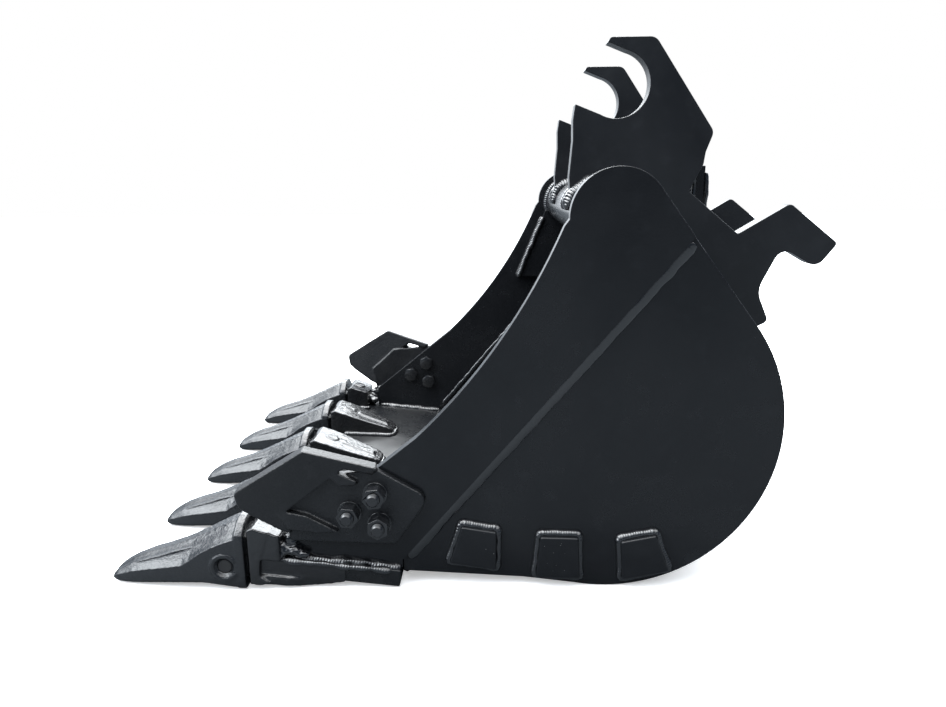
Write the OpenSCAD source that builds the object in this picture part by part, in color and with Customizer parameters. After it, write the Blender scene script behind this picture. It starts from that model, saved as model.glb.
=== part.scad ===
// Excavator bucket with quick-hitch ears: welded shell, cast adapters,
// pinned tooth points and bolted side cutters.
// X runs from the tooth tips (-X) to the hitch heel (+X), Y runs across the
// width (left side at -Y), Z is up. The origin is under the middle, on the floor.

/* [Body] */
// Width over the front side plates
body_w = 634; // [610:2:660]
// Thickness of the front side plates
edge_t = 16; // [12:1:18]
// Thickness of the rear side plates
side_t = 12; // [8:1:12]
// Step between the outer faces of the front and rear side plates
edge_step = 4; // [2:1:6]
// Radius of the heel curve
heel_r = 205; // [203:1:206]
// Thickness of the wrapper plate
wrap_t = 10; // [6:1:12]

/* [Lip] */
// Width of the lip plate
lip_w = 650; // [640:2:670]
// Thickness of the lip plate
lip_t = 22; // [18:1:22]

/* [Torque tube] */
// Outer radius of the torque tube
tube_r = 40; // [36:1:42]
// Wall thickness of the torque tube
tube_wall = 9; // [6:1:12]

/* [Hitch ears] */
// Thickness of each hitch ear
ear_t = 25; // [20:1:30]
// Clear distance between the hitch ears
ear_gap = 222.8; // [200:0.2:260]
// Radius of the hook seat
hook_r = 42; // [38:0.5:43]

/* [Teeth] */
// Number of teeth
tooth_n = 5; // [5:1:5]
// Distance between the middles of neighbouring teeth
tooth_pitch = 150; // [144:1:152]
// Width of the tooth socket
tooth_w = 72; // [68:1:74]
// Radius of the lock pin
pin_r = 9; // [8:0.5:10]
// Gap between a lock pin and its holes
pin_gap = 0.06; // [0.02:0.01:0.1]
// Gap between the adapter nose and the tooth socket
nose_gap = 0.5; // [0.3:0.1:1]

/* [Side cutters] */
// Thickness of the bolted base of a cutter
cut_t = 9; // [8:1:12]
// Thickness of the cutter wing
wing_t = 16; // [12:1:18]
// Outward lean of the cutter wing in degrees
wing_lean = 10; // [6:1:12]
// Radius of the cutter bolts
bolt_r = 8; // [7:0.5:8]
// Size across the flats of the cutter nuts
nut_af = 24; // [22:1:26]

/* [Wear pads] */
// Thickness of the side wear pads
pad_t = 11; // [8:1:12]

/* [Hidden] */

hy = body_w / 2;              // outer face of a front side plate
hr = hy - edge_step;          // outer face of a rear side plate
hi = hy - edge_t;             // inner face of both
ei = ear_gap / 2;             // inner face of an ear
eo = ei + ear_t;              // outer face of an ear

C1 = [146.7, heel_r];         // middle of the heel curve
D1 = [150.8, 450.2];          // middle of the dome over the torque tube
DR = 54.3;                    // radius of that dome
C2 = [128.7, 134.4];          // middle of the back curve of the wrapper
R2 = 258;                     // outer radius of the back curve
TC = [151.5, 447.5];          // middle of the torque tube
HC = [171, 608.7];            // middle of the hook seat
HA = 158.2;                   // direction in which the hook opens
P0 = [-100, 17.3];            // front of the floor, underside
P1 = [50, 10];                // bend of the floor
SB = [-100, 33.7];            // bottom of the seam between the side plates
ST = [235, 428.5];            // top of that seam
LF = [-273.5, 40.6];          // top front edge of the lip
lip_a = -5.75;                // slope of the lip
lip_l = 172.8;                // length of the lip
EC = [-231, 72];              // lower front corner of a front side plate
EP = [-80, 193.5];            // where its straight front edge starts to curve
BOLTS = [[-161, 102.5], [-129, 127], [-125, 88.5]];
FO = [-208, 121.5];           // a point on the cutter's fold
FA = 37.5;                    // direction of the fold
PC = [-318, 31.5];            // middle of a lock pin
BACK = 75;                    // end of the wrapper's back curve, in degrees

function pol(c, r, a) = [c[0] + r * cos(a), c[1] + r * sin(a)];
function dst(a, b) = norm(a - b);
function dirn(a, b) = atan2(b[1] - a[1], b[0] - a[0]);
// point where the line from p touches the circle from below
function touch(p, c, r) = let(d = dst(p, c), a = dirn(p, c) - asin(r / d), l = sqrt(d * d - r * r)) [p[0] + l * cos(a), p[1] + l * sin(a)];
// middle of the circle through three points
function mid3(a, b, c) = let(
    d = 2 * (a[0] * (b[1] - c[1]) + b[0] * (c[1] - a[1]) + c[0] * (a[1] - b[1])),
    A = a * a, B = b * b, C = c * c)
    [(A * (b[1] - c[1]) + B * (c[1] - a[1]) + C * (a[1] - b[1])) / d,
     (A * (c[0] - b[0]) + B * (a[0] - c[0]) + C * (b[0] - a[0])) / d];
// points of a polygon whose corners [x, y, r] are rounded by r
function unit(v) = v / norm(v);
function corner(a, b, c, n = 5) = b[2] <= 0 ? [[b[0], b[1]]] : let(
    p = [b[0], b[1]], u = unit([a[0], a[1]] - p), v = unit([c[0], c[1]] - p),
    h = acos(max(-1, min(1, u * v))) / 2, t = b[2] / tan(h),
    m = p + unit(u + v) * (b[2] / sin(h)), s = p + u * t, e = p + v * t,
    a0 = dirn(m, s), d0 = dirn(m, e) - a0, d = d0 > 180 ? d0 - 360 : d0 < -180 ? d0 + 360 : d0)
    [for (i = [0 : n]) pol(m, b[2], a0 + d * i / n)];
function rounded(q, n = 5) = [for (i = [0 : len(q) - 1]) each corner(q[(i + len(q) - 1) % len(q)], q[i], q[(i + 1) % len(q)], n)];

LAP = 0.3;                                        // how far straight edges dip into the curves they run into
T1 = touch(P1, C1, heel_r - LAP);                 // floor meets the heel curve
na = dirn(C1, D1) - acos((heel_r - DR) / dst(C1, D1));  // direction square to the upper rear edge
U1 = pol(C1, heel_r - LAP, na);                         // upper rear edge meets the heel
U2 = pol(D1, DR - LAP, na);                             // upper rear edge meets the dome
F1 = [91, 441];
F2 = [31.5, 328.3];
FC = mid3(F1, F2, EP);                            // middle of the front edge's curve
FR = dst(FC, F1);
lip_rear = LF + lip_l * [cos(lip_a), sin(lip_a)];
function lip_z(x) = LF[1] + (x - LF[0]) * tan(lip_a);

// a plate in the XZ plane between y0 and y1
module slab(y0, y1) translate([0, y1, 0]) rotate([90, 0, 0]) linear_extrude(height = y1 - y0) children();
module left_right(s) { if (s < 0) children(); else mirror([0, 1, 0]) children(); }
module rod(c, r, y0, y1, f = 64) translate([c[0], y1, c[1]]) rotate([90, 0, 0]) cylinder(r = r, h = y1 - y0, $fn = f);

// whole side of the bucket, a plate between y0 and y1
module side(y0, y1) {
    difference() {
        union() {
            slab(y0, y1) polygon([[-231, lip_z(-231)], EC, EP, F1, [112, 470], D1, C1, T1, P1, P0, [-100, lip_z(-100)]]);
            rod(C1, heel_r, y0, y1, 96);
            rod(D1, DR, y0, y1, 64);
            slab(y0, y1) polygon([C1, U1, U2, D1]);
        }
        intersection() {
            rod(FC, FR, y0 - 1, y1 + 1, 180);
            slab(y0 - 2, y1 + 2) polygon([FC, FC + (EP - FC) * 1.2, FC + (F1 - FC) * 1.2]);
        }
    }
}
module seam_front() polygon([[-600, -50], [-100, -50], SB, ST + (ST - SB) * 0.2, [320, 700], [-600, 700]]);

module side_edge(s) color("dimgray") left_right(s) difference() {
    intersection() { side(-hy, -hi); slab(-hy - 5, -hi + 5) seam_front(); }
    for (b = BOLTS) rod(b, bolt_r + 1, -hy - 5, -hi + 5);
}
module side_plate(s) color("gray") left_right(s) difference() {
    side(-hr, -hi);
    slab(-hr - 5, -hi + 5) seam_front();
}

module wrap_zone(t) intersection() {
    translate(C1) circle(r = heel_r - t, $fn = 96);
    translate(C2) circle(r = R2 - t, $fn = 128);
}
BA = pol(C2, R2, BACK);
BT = [147, 412];
bn = unit([-(BT - BA)[1], (BT - BA)[0]]);
module floor_zone(t) {
    p = P1 + [0, t];
    polygon([C1, touch(p, C1, heel_r - t - LAP), p, P0 + [-t, t + 0.073 * t], [-100 - t, 120]]);
}
// wrapper as the difference between the shell's filled outside and inside
module wrap_3d() {
    intersection() {
        difference() {
            union() { slab(-hi, hi) wrap_zone(0); slab(-hi, hi) floor_zone(0); }
            slab(-hi - 1, hi + 1) wrap_zone(wrap_t);
            slab(-hi - 1, hi + 1) floor_zone(wrap_t);
        }
        slab(-hi - 2, hi + 2) polygon([[-100, -50], [450, -50], [450, 460], pol(C2, 330, BACK), pol(C2, 150, BACK), [-100, 100]]);
    }
    slab(-hi, hi) polygon([BA, BT, BT + bn * wrap_t, pol(C2, R2 - wrap_t, BACK), pol(C2, R2 - wrap_t / 2, BACK - 1)]);
}
// space under the wrapper's top strip
module under_strip() polygon([BA + (BA - BT) * 0.3, BT, BT + [0, -40], BA + [0, -60]]);
module shell_wrapper() color("slategray") difference() {
    wrap_3d();
    rod(TC, tube_r, -hi - 1, hi + 1);
}
module lip_plate() color("darkgray")
    slab(-lip_w / 2, lip_w / 2) translate(LF) rotate(lip_a)
        polygon([[3, 0], [lip_l, 0], [lip_l, -lip_t], [7, -lip_t], [0, -lip_t + 7], [0, -3]]);

module torque_tube() color("steelblue") difference() {
    rod(TC, tube_r, -hi, hi);
    rod(TC, tube_r - tube_wall, -hi - 1, hi + 1);
}
module tube_gusset(s) color("lightslategray") left_right(s)
    slab(-hi, -hi + 12) difference() {
        polygon([[108, 432], [104, 418], [58, 306], [118, 304], [168, 362], [172, 376], [150, 390], [150, 430]]);
        translate(TC) circle(r = tube_r, $fn = 64);
        polygon([BA + bn * (wrap_t + 0.2), BT + bn * (wrap_t + 0.2), BT + [-10, 50], BA + [40, 50]]);
    }

EAR = rounded([[114, 466, 0], [126, 455, 0], [TC[0], TC[1] - 10, 0], [165, 391, 0], [200, 372, 0], [262, 330, 0], [320, 266, 0],
    [389.5, 298.5, 7], [370.5, 341, 30], [398, 400, 15], [447, 371.5, 15], [471.5, 404.5, 5], [404.5, 457.5, 8],
    [338.4, 417.8, 3], [270.2, 474, 2], [287, 508, 10], [289, 524, 10], [298, 549, 12], [217.5, 665.2, 14],
    [160.5, 665.2, 4], [155, 656, 3], [118, 586.5, 2], [115.2, 566, 6], [115.8, 540, 0], [112, 494, 0]]);
module hitch_ear(s) color("royalblue") left_right(s) difference() {
    slab(-eo, -ei) polygon(EAR);
    intersection() {
        rod(C1, heel_r, -eo - 3, -ei + 3, 96);
        rod(C2, R2, -eo - 3, -ei + 3, 128);
    }
    slab(-eo - 2, -ei + 2) under_strip();
    rod(TC, tube_r, -eo - 1, -ei + 1);
    rod(HC, hook_r, -eo - 1, -ei + 1);
    slab(-eo - 2, -ei + 2) translate(HC) rotate(HA) translate([0, LAP - hook_r]) square([110, 2 * (hook_r - LAP)]);
}
module ear_cross_plate() color("cornflowerblue") difference() {
    slab(-ei, ei) polygon([[285, 300], [297, 300], [297, 507], [285, 507]]);
    intersection() {
        rod(C1, heel_r, -ei - 3, ei + 3, 96);
        rod(C2, R2, -ei - 3, ei + 3, 128);
    }
}

// nose of an adapter, and the socket it fills when g is the gap
module nose(g) intersection() {
    slab(-22 - g, 22 + g) polygon([[-398 - g, 18 - g], [-398 - g, 28 + g], [-384, 37 + g], [-292, 66 + g], [-292, 11 - g], [-384, 13 - g]]);
    translate([0, 0, -5]) linear_extrude(height = 100) polygon([[-398 - g, -10 - g], [-398 - g, 10 + g], [-380, 14.5 + g], [-292, 22 + g], [-292, -22 - g], [-380, -14.5 - g]]);
}
module tooth(i) color("gold") translate([0, (i - 3) * tooth_pitch, 0]) difference() {
    union() {
        // broad blade
        intersection() {
            slab(-tooth_w / 2, tooth_w / 2) polygon([[-469.5, 4], [-466, 1], [-452, 0], [-425, 3], [-350, 6], [-312, 4], [-300, 1.5], [-292.5, 2.5], [-292.5, 66], [-315, 65], [-331, 58], [-347, 49], [-364, 37], [-374, 31], [-392, 28], [-412, 25], [-443, 18], [-462, 12]]);
            translate([0, 0, -5]) linear_extrude(height = 120) polygon([[-470, -18], [-470, 18], [-443, 24], [-404, 29], [-360, 33], [-320, tooth_w / 2], [-292.5, tooth_w / 2],
                [-292.5, -tooth_w / 2], [-320, -tooth_w / 2], [-360, -33], [-404, -29], [-443, -24]]);
        }
        // shoulder of the spine
        intersection() {
            slab(-28, 28) polygon([[-462, 8], [-462, 12], [-443, 25], [-412, 35], [-392, 42], [-364, 50], [-347, 57], [-331, 64], [-292.5, 76], [-292.5, 8]]);
            translate([0, 0, -5]) linear_extrude(height = 120) polygon([[-462, -16], [-462, 16], [-364, 19], [-331, 25], [-292.5, 28], [-292.5, -28], [-331, -25], [-364, -19], [-462, -16]]);
        }
        // crown of the spine
        intersection() {
            slab(-20, 20) polygon([[-455, 8], [-455, 21], [-443, 28], [-412, 39], [-392, 46], [-364, 57], [-347, 65], [-331, 72], [-292.5, 88], [-292.5, 8]]);
            translate([0, 0, -5]) linear_extrude(height = 120) polygon([[-455, -8], [-455, 8], [-364, 12], [-292.5, 20], [-292.5, -20], [-364, -12]]);
        }
        // collar
        intersection() {
            slab(-tooth_w / 2, tooth_w / 2) polygon([[-303, 1], [-303, 84], [-292.5, 90], [-292.5, 1]]);
            translate([-310, 0, 0]) rotate([90, 0, 90]) linear_extrude(height = 20) polygon(rounded([[-36, 1, 8], [36, 1, 8], [36, 76, 10], [20, 90, 8], [-20, 90, 8], [-36, 76, 10]]));
        }
        rod(PC, 19, -tooth_w / 2, tooth_w / 2);
    }
    nose(nose_gap);
    rod(PC, pin_r + pin_gap, -60, 60);
    for (s = [-1, 1]) rod(PC, 13, s * (tooth_w / 2 + 1) - 5, s * (tooth_w / 2 + 1) + 5);
}
module adapter(i) color("peru") translate([0, (i - 3) * tooth_pitch, 0]) {
    corner_one = i == 1 || i == tooth_n;
    rl = corner_one ? -248 : -176;
    difference() {
        union() {
            nose(0);
            // shoulder in front of the lip
            slab(-34, 34) polygon([[-292 + 4, 8], [-288, 80], [-280, 83], [-262, 76], [LF[0], LF[1]], [LF[0] - lip_t * 0.1002, LF[1] - lip_t], [-262, 9], [-276, 6]]);
            slab(-22, 22) polygon([[-293, 11], [-293, 66], [-286, 66], [-286, 11]]);
            // upper leg
            intersection() {
                slab(-33, 33) polygon([[-276, 40.7], [-282, 82], [-262, 77], [-220, 60], [rl - 12, lip_z(rl) + (corner_one ? 30 : 17)], [rl, lip_z(rl) + (corner_one ? 26 : 10)], [rl, lip_z(rl)], [LF[0], LF[1]]]);
                translate([0, 0, 0]) linear_extrude(height = 120) polygon(rounded(corner_one ? [[-300, -34, 0], [rl, -34, 6], [rl, 34, 6], [-300, 34, 0]]
                    : [[-300, -34, 0], [-250, -34, 10], [rl, -20, 8], [rl, 20, 8], [-250, 34, 10], [-300, 34, 0]]));
            }
            // lower leg
            intersection() {
                slab(-30, 30) polygon([[-276, 18.5], [-278, 6], [-240, 3], [-190, 1.5], [-176, 4], [-174, lip_z(-174) - lip_t * 1.005], [LF[0] - 2.2, lip_z(LF[0] - 2.2) - lip_t * 1.005]]);
                translate([0, 0, 0]) linear_extrude(height = 60) polygon(rounded([[-300, -30, 0], [-240, -30, 10], [-174, -18, 8], [-174, 18, 8], [-240, 30, 10], [-300, 30, 0]]));
            }
        }
        rod(PC, pin_r + pin_gap, -60, 60);
        // pocket for the pin retainer
        rod(PC, pin_r + 6, -5, 5);
    }
}
module lock_pin(i) color("silver") translate([0, (i - 3) * tooth_pitch, 0]) rod(PC, pin_r, -33, 33);
module pin_retainer(i) color("crimson") translate([0, (i - 3) * tooth_pitch, 0]) difference() {
    rod(PC, pin_r + 5.8, -4.7, 4.7);
    rod(PC, pin_r + 0.08, -10, 10);
}

module fold() translate([FO[0], -hy, FO[1]]) rotate([0, -FA, 0]) children();
module side_cutter(s) color("darkorange") left_right(s) difference() {
    union() {
        slab(-hy - cut_t, -hy) polygon(rounded([[-236, 63, 4], [-106, 60, 10], [-64, 121, 14], [-126, 157, 3], [-198, 150, 0], [-243, 109, 0]]));
        fold() rotate([wing_lean, 0, 0]) translate([0, 0, 0]) slab(-wing_t, 0)
            polygon(rounded([[38, 56, 4], [-62, 66, 8], [-71, 48, 5], [-68, 33, 5], [-55, -8, 3], [-48, -20, 2], [-34, 8, 3], [58, 8, 3], [79, -19, 2], [90, -19, 2]]));
        // ribs from the wing to the base
        fold() slab(-wing_t - 2, -cut_t + 0.5) polygon([[-40, 9], [-34, 7], [-16, -14], [2, -54], [-19, -40], [-46, -14]]);
        fold() slab(-wing_t - 2, -cut_t + 0.5) polygon([[38, 12], [46, 12], [61, -16], [58, -20], [41, -9]]);
    }
    for (b = BOLTS) rod(b, bolt_r + 1, -hy - 40, -hy + 5);
}
HEXT = [-5, 6, 27];           // how far each nut happens to be turned
module hexa(c, af, a, y0, y1) translate([c[0], y1, c[1]]) rotate([90, 0, 0]) linear_extrude(height = y1 - y0)
    polygon([for (k = [0 : 5]) pol([0, 0], af / sqrt(3), 60 * k + a)]);
module cutter_bolts(s) color("silver") left_right(s) for (b = [0 : 2]) {
    rod(BOLTS[b], bolt_r, -hy - cut_t - 24, -hi, 32);
    hexa(BOLTS[b], nut_af, 12 + 17 * b, -hi, -hi + 10);
}
module cutter_washers(s) color("lightgray") left_right(s) for (b = BOLTS) difference() {
    rod(b, bolt_r * 1.88, -hy - cut_t - 3, -hy - cut_t);
    rod(b, bolt_r + 0.5, -hy - cut_t - 5, -hy - cut_t + 5);
}
module cutter_nuts(s) color("whitesmoke") left_right(s) for (b = [0 : 2]) difference() {
    intersection() {
        hexa(BOLTS[b], nut_af, HEXT[b], -hy - cut_t - 18, -hy - cut_t - 3);
        rod(BOLTS[b], nut_af / sqrt(3) - 0.6, -hy - cut_t - 25, -hy - cut_t, 48);
    }
    rod(BOLTS[b], bolt_r, -hy - cut_t - 25, -hy - cut_t, 32);
}
module pad(w0, w1, h) polygon([[-w0 / 2, h / 2], [w0 / 2, h / 2], [w1 / 2, -h / 2], [-w1 / 2, -h / 2]]);
module side_pads(s) color("olive") left_right(s) slab(-hr - pad_t, -hr) {
    translate([-9, 54]) rotate(-9) pad(43, 58, 50);
    translate([92, 42]) rotate(-1) pad(46, 54, 54);
    translate([193, 44]) rotate(12) pad(43, 58, 50);
}

shell_wrapper();
lip_plate();
side_plate(-1);  // side_plate_left
side_plate(1);  // side_plate_right
side_edge(-1);  // side_edge_left
side_edge(1);  // side_edge_right
torque_tube();
tube_gusset(-1);  // tube_gusset_left
tube_gusset(1);  // tube_gusset_right
hitch_ear(-1);  // hitch_ear_left
hitch_ear(1);  // hitch_ear_right
ear_cross_plate();
adapter(1);  // adapter_1
adapter(2);  // adapter_2
adapter(3);  // adapter_3
adapter(4);  // adapter_4
adapter(5);  // adapter_5
tooth(1);  // tooth_1
tooth(2);  // tooth_2
tooth(3);  // tooth_3
tooth(4);  // tooth_4
tooth(5);  // tooth_5
lock_pin(1);  // lock_pin_1
lock_pin(2);  // lock_pin_2
lock_pin(3);  // lock_pin_3
lock_pin(4);  // lock_pin_4
lock_pin(5);  // lock_pin_5
pin_retainer(1);  // pin_retainer_1
pin_retainer(2);  // pin_retainer_2
pin_retainer(3);  // pin_retainer_3
pin_retainer(4);  // pin_retainer_4
pin_retainer(5);  // pin_retainer_5
side_cutter(-1);  // side_cutter_left
side_cutter(1);  // side_cutter_right
cutter_bolts(-1);  // cutter_bolts_left
cutter_bolts(1);  // cutter_bolts_right
cutter_washers(-1);  // cutter_washers_left
cutter_washers(1);  // cutter_washers_right
cutter_nuts(-1);  // cutter_nuts_left
cutter_nuts(1);  // cutter_nuts_right
side_pads(-1);  // side_pads_left
side_pads(1);  // side_pads_right
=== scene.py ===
import bpy, bmesh, math
from mathutils import Vector, Matrix, noise


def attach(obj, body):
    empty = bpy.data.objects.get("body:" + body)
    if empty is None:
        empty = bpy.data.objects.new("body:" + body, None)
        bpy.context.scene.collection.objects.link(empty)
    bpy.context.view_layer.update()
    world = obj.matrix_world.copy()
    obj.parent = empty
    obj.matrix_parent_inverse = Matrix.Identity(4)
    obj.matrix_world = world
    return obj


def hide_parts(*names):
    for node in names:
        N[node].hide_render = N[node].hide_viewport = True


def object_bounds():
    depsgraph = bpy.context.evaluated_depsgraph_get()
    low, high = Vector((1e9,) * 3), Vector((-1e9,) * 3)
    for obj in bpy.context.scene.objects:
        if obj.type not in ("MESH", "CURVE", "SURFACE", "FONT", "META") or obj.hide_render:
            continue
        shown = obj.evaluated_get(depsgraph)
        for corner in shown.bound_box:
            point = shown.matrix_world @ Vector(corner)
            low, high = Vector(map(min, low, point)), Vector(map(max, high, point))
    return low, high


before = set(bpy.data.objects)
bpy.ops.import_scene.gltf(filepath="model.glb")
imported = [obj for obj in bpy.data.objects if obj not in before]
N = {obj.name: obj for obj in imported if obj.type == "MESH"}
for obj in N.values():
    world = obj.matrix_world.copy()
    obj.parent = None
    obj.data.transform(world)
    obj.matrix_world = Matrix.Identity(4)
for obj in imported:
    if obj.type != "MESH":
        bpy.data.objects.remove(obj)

cad_box = [list(map(float, v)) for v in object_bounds()]
scene = bpy.context.scene
coll = scene.collection
MM = 0.001

# ------------------------------------------------------------------ design numbers, mm
HY, HR, HI = 317.0, 313.0, 301.0
EI, EO = 111.4, 136.4
C1, R1 = (146.7, 205.0), 205.0
C2, R2 = (128.7, 134.4), 258.0
D1, DR = (150.8, 450.2), 54.3
TC, TR = (151.5, 447.5), 40.0
SB, ST = (-100.0, 33.7), (235.0, 428.5)
LF, LIP_A = (-273.5, 40.6), -5.75
P1 = (50.0, 10.0)
PC = (-318.0, 31.5)
BOLTS = [(-161, 102.5), (-129, 127), (-125, 88.5)]
PITCH = 150.0


def lip_z(x):
    return LF[1] + (x - LF[0]) * math.tan(math.radians(LIP_A))


def wrap_z(x, t=0.0):
    a = C1[1] + math.sqrt(max(0, (R1 - t) ** 2 - (x - C1[0]) ** 2))
    b = C2[1] + math.sqrt(max(0, (R2 - t) ** 2 - (x - C2[0]) ** 2))
    return min(a, b)


# ------------------------------------------------------------------ materials
def socket(node, name, value):
    node.inputs[name].default_value = value


class Mat:
    def __init__(self, name):
        self.m = bpy.data.materials.new(name)
        self.m.use_nodes = True
        self.t = self.m.node_tree
        self.b = self.t.nodes["Principled BSDF"]
        self.co = self.t.nodes.new("ShaderNodeTexCoord").outputs["Object"]

    def link(self, a, b):
        self.t.links.new(a, b)

    def noise(self, scale, detail=3.0, rough=0.55, dist=0.0, co=None):
        n = self.t.nodes.new("ShaderNodeTexNoise")
        socket(n, "Scale", scale); socket(n, "Detail", detail); socket(n, "Roughness", rough); socket(n, "Distortion", dist)
        self.link(co or self.co, n.inputs["Vector"])
        return n.outputs["Fac"]

    def voronoi(self, scale, feature="F1"):
        n = self.t.nodes.new("ShaderNodeTexVoronoi")
        n.feature = feature
        socket(n, "Scale", scale)
        self.link(self.co, n.inputs["Vector"])
        return n

    def stretch(self, s):
        n = self.t.nodes.new("ShaderNodeMapping")
        n.inputs["Scale"].default_value = s
        self.link(self.co, n.inputs["Vector"])
        return n.outputs["Vector"]

    def ramp(self, fac, stops):
        n = self.t.nodes.new("ShaderNodeValToRGB")
        e = n.color_ramp.elements
        while len(e) < len(stops):
            e.new(0.5)
        for k, (p, c) in enumerate(stops):
            e[k].position = p
            e[k].color = (c[0], c[1], c[2], 1) if isinstance(c, (tuple, list)) else (c, c, c, 1)
        self.link(fac, n.inputs["Fac"])
        return n.outputs["Color"]

    def mix(self, fac, a, b):
        n = self.t.nodes.new("ShaderNodeMix")
        n.data_type = "RGBA"
        for s, v in ((n.inputs["Factor"], fac), (n.inputs["A"], a), (n.inputs["B"], b)):
            pass
        ia, ib, f = n.inputs[6], n.inputs[7], n.inputs[0]
        for s, v in ((f, fac), (ia, a), (ib, b)):
            if hasattr(v, "links"):
                self.link(v, s)
            elif isinstance(v, (tuple, list)):
                s.default_value = (v[0], v[1], v[2], 1)
            else:
                s.default_value = v
        return n.outputs[2]

    def math(self, op, a, b=0.0):
        n = self.t.nodes.new("ShaderNodeMath")
        n.operation = op
        for k, v in ((0, a), (1, b)):
            if hasattr(v, "links"):
                self.link(v, n.inputs[k])
            else:
                n.inputs[k].default_value = v
        return n.outputs[0]

    def bump(self, height, strength, distance, before=None):
        n = self.t.nodes.new("ShaderNodeBump")
        socket(n, "Strength", strength); socket(n, "Distance", distance)
        self.link(height, n.inputs["Height"])
        if before is not None:
            self.link(before, n.inputs["Normal"])
        return n.outputs["Normal"]


def paint(name, dark, light, r0, r1, peel, ior=1.42, cast=0.0, cast_scale=260.0, specks=True, coat=0.0):
    """Gloss paint over steel: uneven film, orange peel, dust specks, and under it rolled or cast metal."""
    m = Mat(name)
    big = m.noise(4.5, 4, 0.6, 0.4)
    mid = m.noise(38, 5, 0.65)
    col = m.mix(m.ramp(big, [(0.35, 0.0), (0.65, 1.0)]), dark, light)
    col = m.mix(m.ramp(mid, [(0.55, 0.0), (0.8, 0.5)]), col, tuple(min(1, c * 1.7) for c in light))
    rough = m.ramp(m.math("ADD", m.math("MULTIPLY", big, 0.6), m.math("MULTIPLY", mid, 0.4)), [(0.35, r0), (0.65, r1)])
    if specks:
        v = m.voronoi(210)
        dot = m.ramp(v.outputs["Distance"], [(0.05, 1.0), (0.11, 0.0)])
        gate = m.ramp(m.noise(9, 2), [(0.52, 0.0), (0.62, 1.0)])
        pick = m.ramp(m.t.nodes[v.name].outputs["Color"], [(0.78, 0.0), (0.8, 1.0)])
        s = m.math("MULTIPLY", m.math("MULTIPLY", dot, gate), pick)
        col = m.mix(s, col, (0.16, 0.16, 0.155))
        rough = m.mix(s, rough, (0.7, 0.7, 0.7))
    m.link(col, m.b.inputs["Base Color"])
    m.link(rough, m.b.inputs["Roughness"])
    h = m.bump(m.noise(peel, 2, 0.5), 0.10, 0.0004)
    h = m.bump(m.noise(1400, 2, 0.5), 0.05, 0.0001, h)
    lines = m.noise(60, 3, 0.6, 0, m.stretch((1.0, 1.0, 9.0)))
    h = m.bump(lines, 0.05, 0.0006, h)
    if cast:
        h = m.bump(m.noise(cast_scale, 5, 0.6), cast, 0.0011, h)
        h = m.bump(m.voronoi(cast_scale * 1.6).outputs["Distance"], cast * 0.6, 0.0006, h)
    m.link(h, m.b.inputs["Normal"])
    m.b.inputs["IOR"].default_value = ior
    m.b.inputs["Metallic"].default_value = 0.0
    if coat:
        m.b.inputs["Coat Weight"].default_value = coat
        m.b.inputs["Coat Roughness"].default_value = 0.08
    return m.m


K0, K1 = (0.0045, 0.0052, 0.0065), (0.009, 0.0098, 0.0112)
M_PLATE = paint("plate_gloss_black", K0, K1, 0.17, 0.30, 170, 1.42)
M_EAR = paint("ear_black", K0, (0.011, 0.012, 0.014), 0.28, 0.42, 210, 1.45)
M_LIP = paint("lip_black", K0, (0.014, 0.0145, 0.015), 0.20, 0.36, 150, 1.5, cast=0.10, cast_scale=120)
M_TOOTH = paint("tooth_cast_black", K0, K1, 0.13, 0.26, 260, 1.55, cast=0.7, cast_scale=300, specks=False, coat=0.35)
M_ADAPT = paint("adapter_cast_black", K0, (0.012, 0.012, 0.0125), 0.14, 0.28, 260, 1.55, cast=0.50, cast_scale=280, specks=False, coat=0.3)
M_CUT = paint("cutter_cast_black", K0, (0.012, 0.0125, 0.0135), 0.24, 0.42, 260, 1.48, cast=0.55, cast_scale=420)
M_WELD = paint("weld_gloss_black", K0, (0.012, 0.0125, 0.0135), 0.07, 0.16, 420, 1.6, cast=0.22, cast_scale=420, specks=False, coat=0.8)
M_FAST = paint("fastener_black", K0, (0.013, 0.0135, 0.0145), 0.14, 0.26, 400, 1.55, cast=0.12, cast_scale=600, coat=0.4)
M_PIN = paint("pin_black", (0.012, 0.012, 0.013), (0.03, 0.029, 0.028), 0.26, 0.4, 500, 1.5, cast=0.2, cast_scale=700)
M_RUBBER = paint("retainer_rubber", (0.012, 0.011, 0.011), (0.025, 0.023, 0.022), 0.6, 0.8, 300, 1.45, cast=0.15, cast_scale=500, specks=False)


# ------------------------------------------------------------------ helpers
def new_object(name, verts, faces, material, body, smooth=True):
    me = bpy.data.meshes.new(name)
    me.from_pydata(verts, [], faces)
    me.update()
    return mesh_object(name, me, material, body, smooth)


MADE = []


def mesh_object(name, me, material, body, smooth=True):
    bm = bmesh.new(); bm.from_mesh(me)
    bmesh.ops.recalc_face_normals(bm, faces=bm.faces)
    bm.to_mesh(me); bm.free()
    me.materials.clear()
    me.materials.append(material)
    if smooth:
        me.polygons.foreach_set("use_smooth", [True] * len(me.polygons))
    o = bpy.data.objects.new(name, me)
    coll.objects.link(o)
    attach(o, body)
    MADE.append(o)
    return o


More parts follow.
